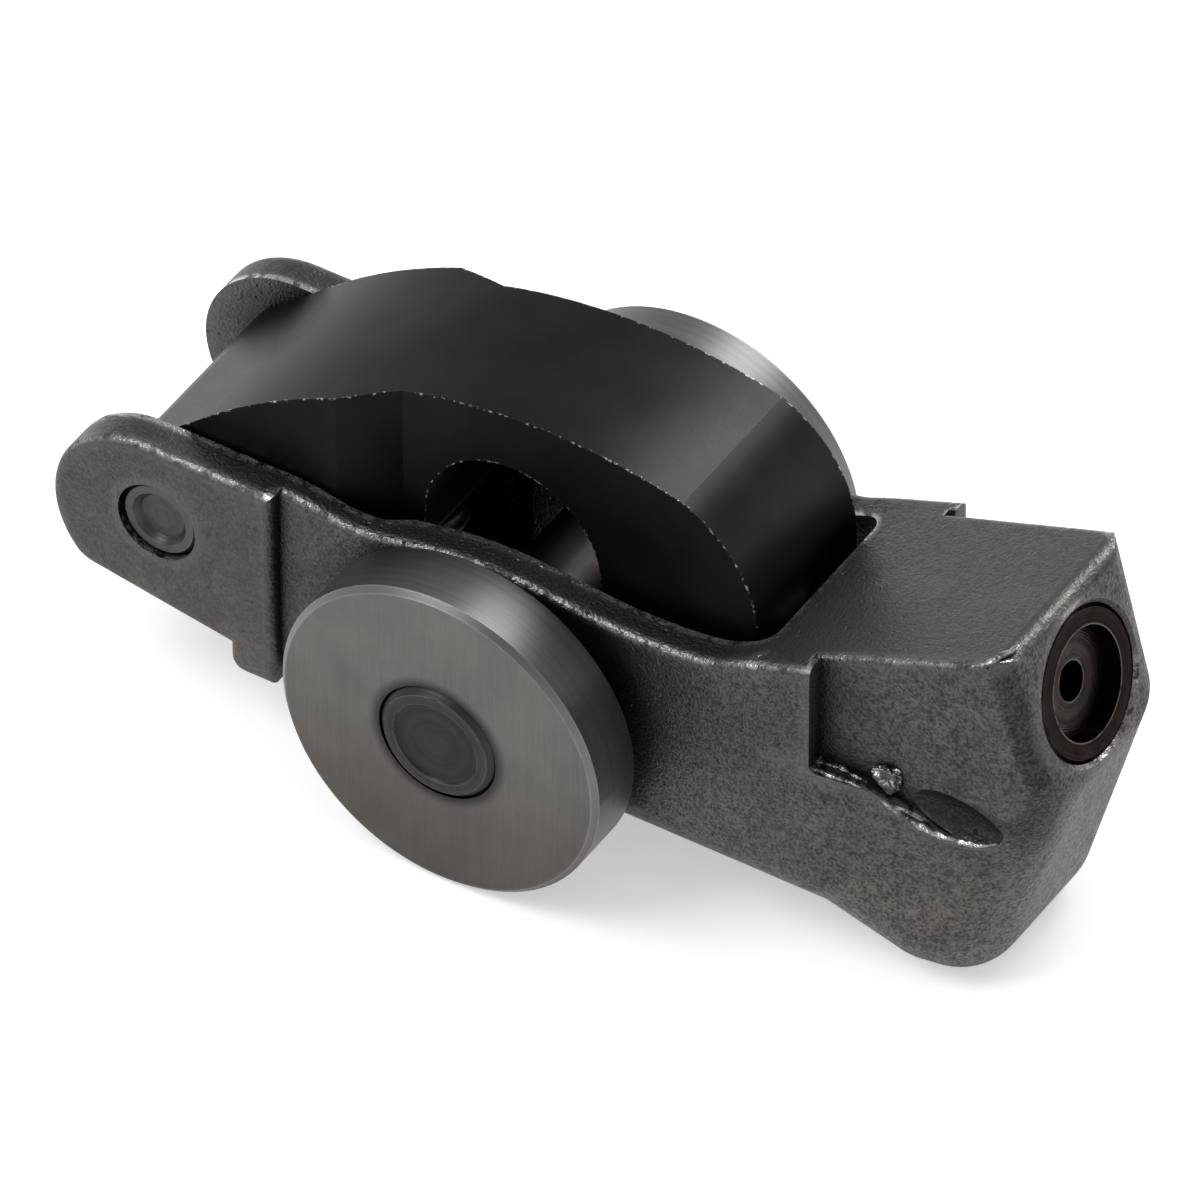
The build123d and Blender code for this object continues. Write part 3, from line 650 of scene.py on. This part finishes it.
def finish_node(name, material):
    """Give a CAD node its material."""
    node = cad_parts[name]
    node.data.materials.clear()
    node.data.materials.append(material)
    for face in node.data.polygons:
        face.material_index = 0


# Geometry trees

def finish_tree(n, out, given, geometry):
    """End a tree with real faces that carry its material."""
    real = n.add("GeometryNodeRealizeInstances", {"Geometry": geometry})
    inputs = {"Geometry": real.outputs[0], "Material": given.outputs["Material"]}
    n.give(out.inputs[0], n.add("GeometryNodeSetMaterial", inputs).outputs[0])


def coil_tree():
    """Round-wire coil spring: a spiral along Z, swept with the wire's section and then put in its place."""
    tree, n, given, out = new_group(
        "Coil spring",
        [("Geometry", GEOMETRY, None), ("Coil radius", FLOAT, 0.003), ("Wire", FLOAT, 0.001),
         ("Turns", FLOAT, 4.0), ("Height", FLOAT, 0.007), ("Start", VECTOR, None),
         ("Turn", ROTATION, None), ("Material", MATERIAL, None)],
        [("Geometry", GEOMETRY)], "GeometryNodeTree")
    radius = given.outputs["Coil radius"]
    wire = given.outputs["Wire"]
    spiral = n.add("GeometryNodeCurveSpiral", {
        "Resolution": 48, "Rotations": given.outputs["Turns"], "Start Radius": radius, "End Radius": radius,
        "Height": n.maths("SUBTRACT", given.outputs["Height"], wire)})
    section = n.add("GeometryNodeCurvePrimitiveCircle", {"Resolution": 14, "Radius": n.times(wire, 0.5)})
    swept = n.add("GeometryNodeCurveToMesh", {
        "Curve": spiral.outputs[0], "Profile Curve": section.outputs[0], "Fill Caps": True})
    placed = n.add("GeometryNodeTransform", {
        "Geometry": swept.outputs[0], "Translation": given.outputs["Start"],
        "Rotation": given.outputs["Turn"]})
    finish_tree(n, out, given, placed.outputs[0])
    return tree


def bead_tree():
    """Ragged bead of cast skin along a path, thin at both ends."""
    tree, n, given, out = new_group(
        "Ragged bead",
        [("Geometry", GEOMETRY, None), ("Radius", FLOAT, 0.0002), ("Raggedness", FLOAT, 0.0001),
         ("Lump size", FLOAT, 0.0006), ("Seed", FLOAT, 0.0), ("Material", MATERIAL, None)],
        [("Geometry", GEOMETRY)], "GeometryNodeTree")
    path = n.add("GeometryNodeResampleCurve", {"Curve": given.outputs["Geometry"], "Count": 90})
    along = n.add("GeometryNodeSplineParameter").outputs["Factor"]
    swell = n.maths("POWER", n.maths("SINE", n.times(along, math.pi), clamp=True), 0.5)
    section = n.add("GeometryNodeCurvePrimitiveCircle", {
        "Resolution": 16, "Radius": given.outputs["Radius"]})
    bead = n.add("GeometryNodeCurveToMesh", {
        "Curve": path.outputs[0], "Profile Curve": section.outputs[0],
        "Scale": n.maths("ADD", swell, 0.05), "Fill Caps": True})
    texture = n.add("ShaderNodeTexNoise", {
        "Vector": n.add("GeometryNodeInputPosition").outputs[0], "W": given.outputs["Seed"],
        "Scale": n.scale(given.outputs["Lump size"]), "Detail": 3.0}, noise_dimensions="4D")
    centred = n.maths("SUBTRACT", texture.outputs["Fac"], 0.5)
    push = n.times(centred, n.times(given.outputs["Raggedness"], 3.0))
    normal = n.add("GeometryNodeInputNormal").outputs["Normal"]
    offset = n.add("ShaderNodeVectorMath", {0: normal, "Scale": push}, operation="SCALE").outputs[0]
    ragged = n.add("GeometryNodeSetPosition", {"Geometry": bead.outputs[0], "Offset": offset})
    finish_tree(n, out, given, ragged.outputs[0])
    return tree


TREES = {"Coil spring": coil_tree, "Ragged bead": bead_tree}


def place_piece(name, mesh):
    """Put a smooth mesh in the scene as a piece at the origin."""
    mesh.name = name
    for face in mesh.polygons:
        face.use_smooth = True
    piece = bpy.data.objects.new(name, mesh)
    bpy.context.scene.collection.objects.link(piece)
    return piece


def grow(name, tree_name, values, data):
    """Run a geometry tree on an object and keep the result as a plain mesh."""
    tree = bpy.data.node_groups.get(tree_name) or TREES[tree_name]()
    holder = bpy.data.objects.new(name + "_path", data)
    bpy.context.scene.collection.objects.link(holder)
    modifier = holder.modifiers.new(tree_name, "NODES")
    modifier.node_group = tree
    sockets = {item.name: item.identifier for item in tree.interface.items_tree if item.in_out == "INPUT"}
    for key, value in values.items():
        modifier[sockets[key]] = value
    graph = bpy.context.evaluated_depsgraph_get()
    mesh = bpy.data.meshes.new_from_object(holder.evaluated_get(graph), depsgraph=graph)
    bpy.data.objects.remove(holder)
    if not mesh.polygons:
        raise RuntimeError(f"the tree {tree_name} made no faces for {name}")
    return place_piece(name, mesh)


def make_spring(name, values, material):
    """A coil spring that stands for its CAD node."""
    seed = bpy.data.meshes.new(name + "_seed")
    piece = grow(name + "_coil", "Coil spring", {**values, "Material": material}, seed)
    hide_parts(name)
    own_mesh(piece)
    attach(piece, "outer_arm")


def smooth_path(name, points):
    """A curve through points."""
    curve = bpy.data.curves.new(name, "CURVE")
    curve.dimensions = "3D"
    spline = curve.splines.new("BEZIER")
    spline.bezier_points.add(len(points) - 1)
    for knot, point in zip(spline.bezier_points, points):
        knot.co = spot(*point)
        knot.handle_left_type = knot.handle_right_type = "AUTO"
    return curve


def make_lump(material):
    """Rounded lump of metal where the ledge ends, with a dimple in its face."""
    made = bmesh.new()
    bmesh.ops.create_icosphere(made, subdivisions=5, radius=1.0)
    centre = spot(*LUMP_CENTRE)
    for vert in made.verts:
        way = vert.co.normalized()
        wave = noise.fractal(way * 1.6, 1.0, 2.0, 3)
        dimple = max(0.0, 1.0 - (way - LUMP_DIMPLE).length / DIMPLE_WIDTH) ** 2
        size = 1.0 + 0.35 * wave - 0.5 * dimple
        vert.co = centre + Vector(part * radius for part, radius in zip(way * size, LUMP_RADII)) / 1000
    mesh = bpy.data.meshes.new("ledge_lump")
    made.to_mesh(mesh)
    made.free()
    mesh.materials.append(material)
    return place_piece("ledge_lump", mesh)


# Operators

class ROCKER_OT_casting(bpy.types.Operator):
    """Finish the cast outer arm."""

    bl_idname = "rocker.casting"
    bl_label = "Finish outer arm"

    def execute(self, context):
        finish_node("outer_arm_body", casting_material(context.scene.rocker_casting))
        return {"FINISHED"}


class ROCKER_OT_flaws(bpy.types.Operator):
    """Make the casting's small flaws: ragged beads along the ledge and hollow, and a lump."""

    bl_idname = "rocker.flaws"
    bl_label = "Make casting flaws"

    def execute(self, context):
        p = context.scene.rocker_casting
        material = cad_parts["outer_arm_body"].data.materials[0]
        pieces = [make_lump(material)]
        for number, (name, radius, points) in enumerate(BEADS):
            values = {
                "Radius": radius / 1000, "Raggedness": p.ragged, "Lump size": BEAD_LUMP_SIZE,
                "Seed": float(number), "Material": material}
            pieces.append(grow(name, "Ragged bead", values, smooth_path(name, points)))
        for piece in pieces:
            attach(piece, "outer_arm")
        return {"FINISHED"}


class ROCKER_OT_lever(bpy.types.Operator):
    """Finish the black inner lever."""

    bl_idname = "rocker.lever"
    bl_label = "Finish inner lever"

    def execute(self, context):
        finish_node("inner_slider_lever", lever_material(context.scene.rocker_lever))
        return {"FINISHED"}


class ROCKER_OT_rollers(bpy.types.Operator):
    """Finish both rollers with their needles and washers."""

    bl_idname = "rocker.rollers"
    bl_label = "Finish rollers"

    def execute(self, context):
        roller = roller_material(context.scene.rocker_rollers)
        needle = ground_material("ground needle steel", context.scene.rocker_hardware.needle, 0.2)
        for side in SIDES:
            finish_node(side + "_roller", roller)
            finish_node(side + "_thrust_washer", needle)
        for name in NEEDLES:
            finish_node(name, needle)
        return {"FINISHED"}


class ROCKER_OT_pins(bpy.types.Operator):
    """Finish the axle and the pivot pin."""

    bl_idname = "rocker.pins"
    bl_label = "Finish pins"

    def execute(self, context):
        p = context.scene.rocker_hardware
        finish_node("roller_axle", pin_material("turned axle end", AXLE, p.axle, AXLE_DISH, p))
        finish_node("pivot_pin", pin_material("turned pin end", PIVOT, p.pin, PIN_DISH, p))
        return {"FINISHED"}


class ROCKER_OT_latch(bpy.types.Operator):
    """Finish the latch pin and its plug."""

    bl_idname = "rocker.latch"
    bl_label = "Finish latch"

    def execute(self, context):
        p = context.scene.rocker_hardware
        finish_node("latch_plug", plug_material(p))
        finish_node("latch_pin", ground_material("ground latch steel", p.needle, 0.24))
        return {"FINISHED"}


class ROCKER_OT_springs(bpy.types.Operator):
    """Coil the lever's spring and the latch's spring."""

    bl_idname = "rocker.springs"
    bl_label = "Coil springs"

    def execute(self, context):
        p = context.scene.rocker_hardware
        wire = ground_material("drawn spring wire", p.wire, 0.34)
        for name in ("latch_spring", "lost_motion_spring"):
            finish_node(name, wire)
        low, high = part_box("lost_motion_spring")
        foot = Vector(((low.x + high.x) / 2, 0.0, low.z))
        lever = {
            "Coil radius": p.lever_coil, "Wire": p.lever_wire, "Turns": LEVER_SPRING_TURNS,
            "Height": high.z - low.z, "Start": foot + Vector((0.0, 0.0, p.lever_wire / 2)),
            "Turn": (0.0, 0.0, 0.0)}
        make_spring("lost_motion_spring", lever, wire)
        latch = {
            "Coil radius": p.latch_coil, "Wire": p.latch_wire, "Turns": LATCH_SPRING_TURNS,
            "Height": LATCH_SPRING_LENGTH,
            "Start": PLUG + BORE_AXIS * (LATCH_SPRING_START + p.latch_wire / 2),
            "Turn": tuple(BORE_AXIS.to_track_quat("Z", "Y").to_euler())}
        make_spring("latch_spring", latch, wire)
        return {"FINISHED"}


class ROCKER_OT_stage(bpy.types.Operator):
    """Make the floor, the lamps, the studio's light and the camera."""

    bl_idname = "rocker.stage"
    bl_label = "Make the stage"

    def execute(self, context):
        p = context.scene.rocker_stage
        make_floor(p)
        make_world(p)
        for lamp in LAMPS:
            make_lamp(*lamp)
        make_camera(p)
        context.scene.view_settings.view_transform = "Standard"
        return {"FINISHED"}


# Stage

def make_floor(p):
    """Pale floor that stays white round the object and keeps its shadow."""
    bpy.ops.mesh.primitive_plane_add(size=FLOOR_SIZE, location=(0.0, 0.0, 0.0))
    floor = bpy.context.object
    floor.name = "studio_floor"
    material, n, shader, _ = new_material("pale floor", 0.0)
    n.give(shader.inputs["Base Color"], (p.floor, p.floor, p.floor, 1.0))
    n.give(shader.inputs["Roughness"], 0.9)
    path = n.add("ShaderNodeLightPath").outputs
    mirrored = n.maths("MAXIMUM", path["Is Glossy Ray"], path["Is Transmission Ray"])
    seen = n.maths("MAXIMUM", path["Is Camera Ray"], mirrored)
    n.give(shader.inputs["Emission Color"], WHITE)
    n.give(shader.inputs["Emission Strength"], n.times(seen, FLOOR_GLOW))
    floor.data.materials.append(material)


def make_world(p):
    """Studio light: white near the horizon and dimmer above."""
    world = bpy.data.worlds.new("studio")
    world.use_nodes = True
    world.node_tree.nodes.clear()
    n = Nodes(world.node_tree)
    height = n.parts(n.add("ShaderNodeTexCoord").outputs["Generated"])[2]
    strength = n.between(height, *SKY_RISE, p.horizon, p.sky)
    background = n.add("ShaderNodeBackground", {"Color": WHITE, "Strength": strength})
    n.add("ShaderNodeOutputWorld", {"Surface": background.outputs[0]})
    bpy.context.scene.world = world


def make_lamp(name, place, size, power):
    """Soft square lamp aimed at the object."""
    lamp = bpy.data.lights.new(name, "AREA")
    lamp.size = size
    lamp.energy = power
    holder = bpy.data.objects.new(name, lamp)
    holder.location = place
    holder.rotation_euler = (AXLE - Vector(place)).to_track_quat("-Z", "Y").to_euler()
    bpy.context.scene.collection.objects.link(holder)


def make_camera(p):
    """Camera at the photograph's angle."""
    a, e = p.azimuth, p.elevation
    right = Vector((math.cos(a), math.sin(a), 0.0))
    back = Vector((math.sin(a) * math.cos(e), -math.cos(a) * math.cos(e), math.sin(e)))
    up = back.cross(right)
    camera = bpy.data.cameras.new("photo camera")
    camera.lens = p.lens
    camera.sensor_width = 36.0
    camera.clip_start = 0.05
    camera.clip_end = 10.0
    holder = bpy.data.objects.new("photo camera", camera)
    holder.location = AXLE + p.aside * right - p.below * up + p.distance * back
    holder.rotation_euler = (-back).to_track_quat("-Z", "Y").to_euler()
    bpy.context.scene.collection.objects.link(holder)
    bpy.context.scene.camera = holder


class ROCKER_PT_sidebar(bpy.types.Panel):
    """Lists the steps that finish the rocker arm."""

    bl_idname = "ROCKER_PT_sidebar"
    bl_label = "Rocker arm"
    bl_space_type = "VIEW_3D"
    bl_region_type = "UI"
    bl_category = "Rocker arm"

    def draw(self, context):
        for step in STEPS:
            self.layout.operator(step.bl_idname)
        for name in SETTINGS:
            box = self.layout.box()
            settings = getattr(context.scene, name)
            for key in settings.bl_rna.properties.keys():
                if key not in {"rna_type", "name"}:
                    box.prop(settings, key)


SETTINGS = {
    "rocker_casting": ROCKER_PG_casting,
    "rocker_lever": ROCKER_PG_lever,
    "rocker_rollers": ROCKER_PG_rollers,
    "rocker_hardware": ROCKER_PG_hardware,
    "rocker_stage": ROCKER_PG_stage,
}
STEPS = (
    ROCKER_OT_casting,
    ROCKER_OT_flaws,
    ROCKER_OT_lever,
    ROCKER_OT_rollers,
    ROCKER_OT_pins,
    ROCKER_OT_latch,
    ROCKER_OT_springs,
    ROCKER_OT_stage,
)
CLASSES = (*SETTINGS.values(), *STEPS, ROCKER_PT_sidebar)


def register():
    """Register the classes and hang the settings on the scene."""
    for cls in CLASSES:
        bpy.utils.register_class(cls)
    for name, group in SETTINGS.items():
        setattr(bpy.types.Scene, name, bpy.props.PointerProperty(type=group))


def unregister():
    """Take the settings and the classes away again."""
    for name in SETTINGS:
        delattr(bpy.types.Scene, name)
    for cls in reversed(CLASSES):
        bpy.utils.unregister_class(cls)


def main():
    """Run every step in order."""
    register()
    for step in STEPS:
        group, name = step.bl_idname.split(".")
        getattr(getattr(bpy.ops, group), name)()


if __name__ == "__main__":
    main()
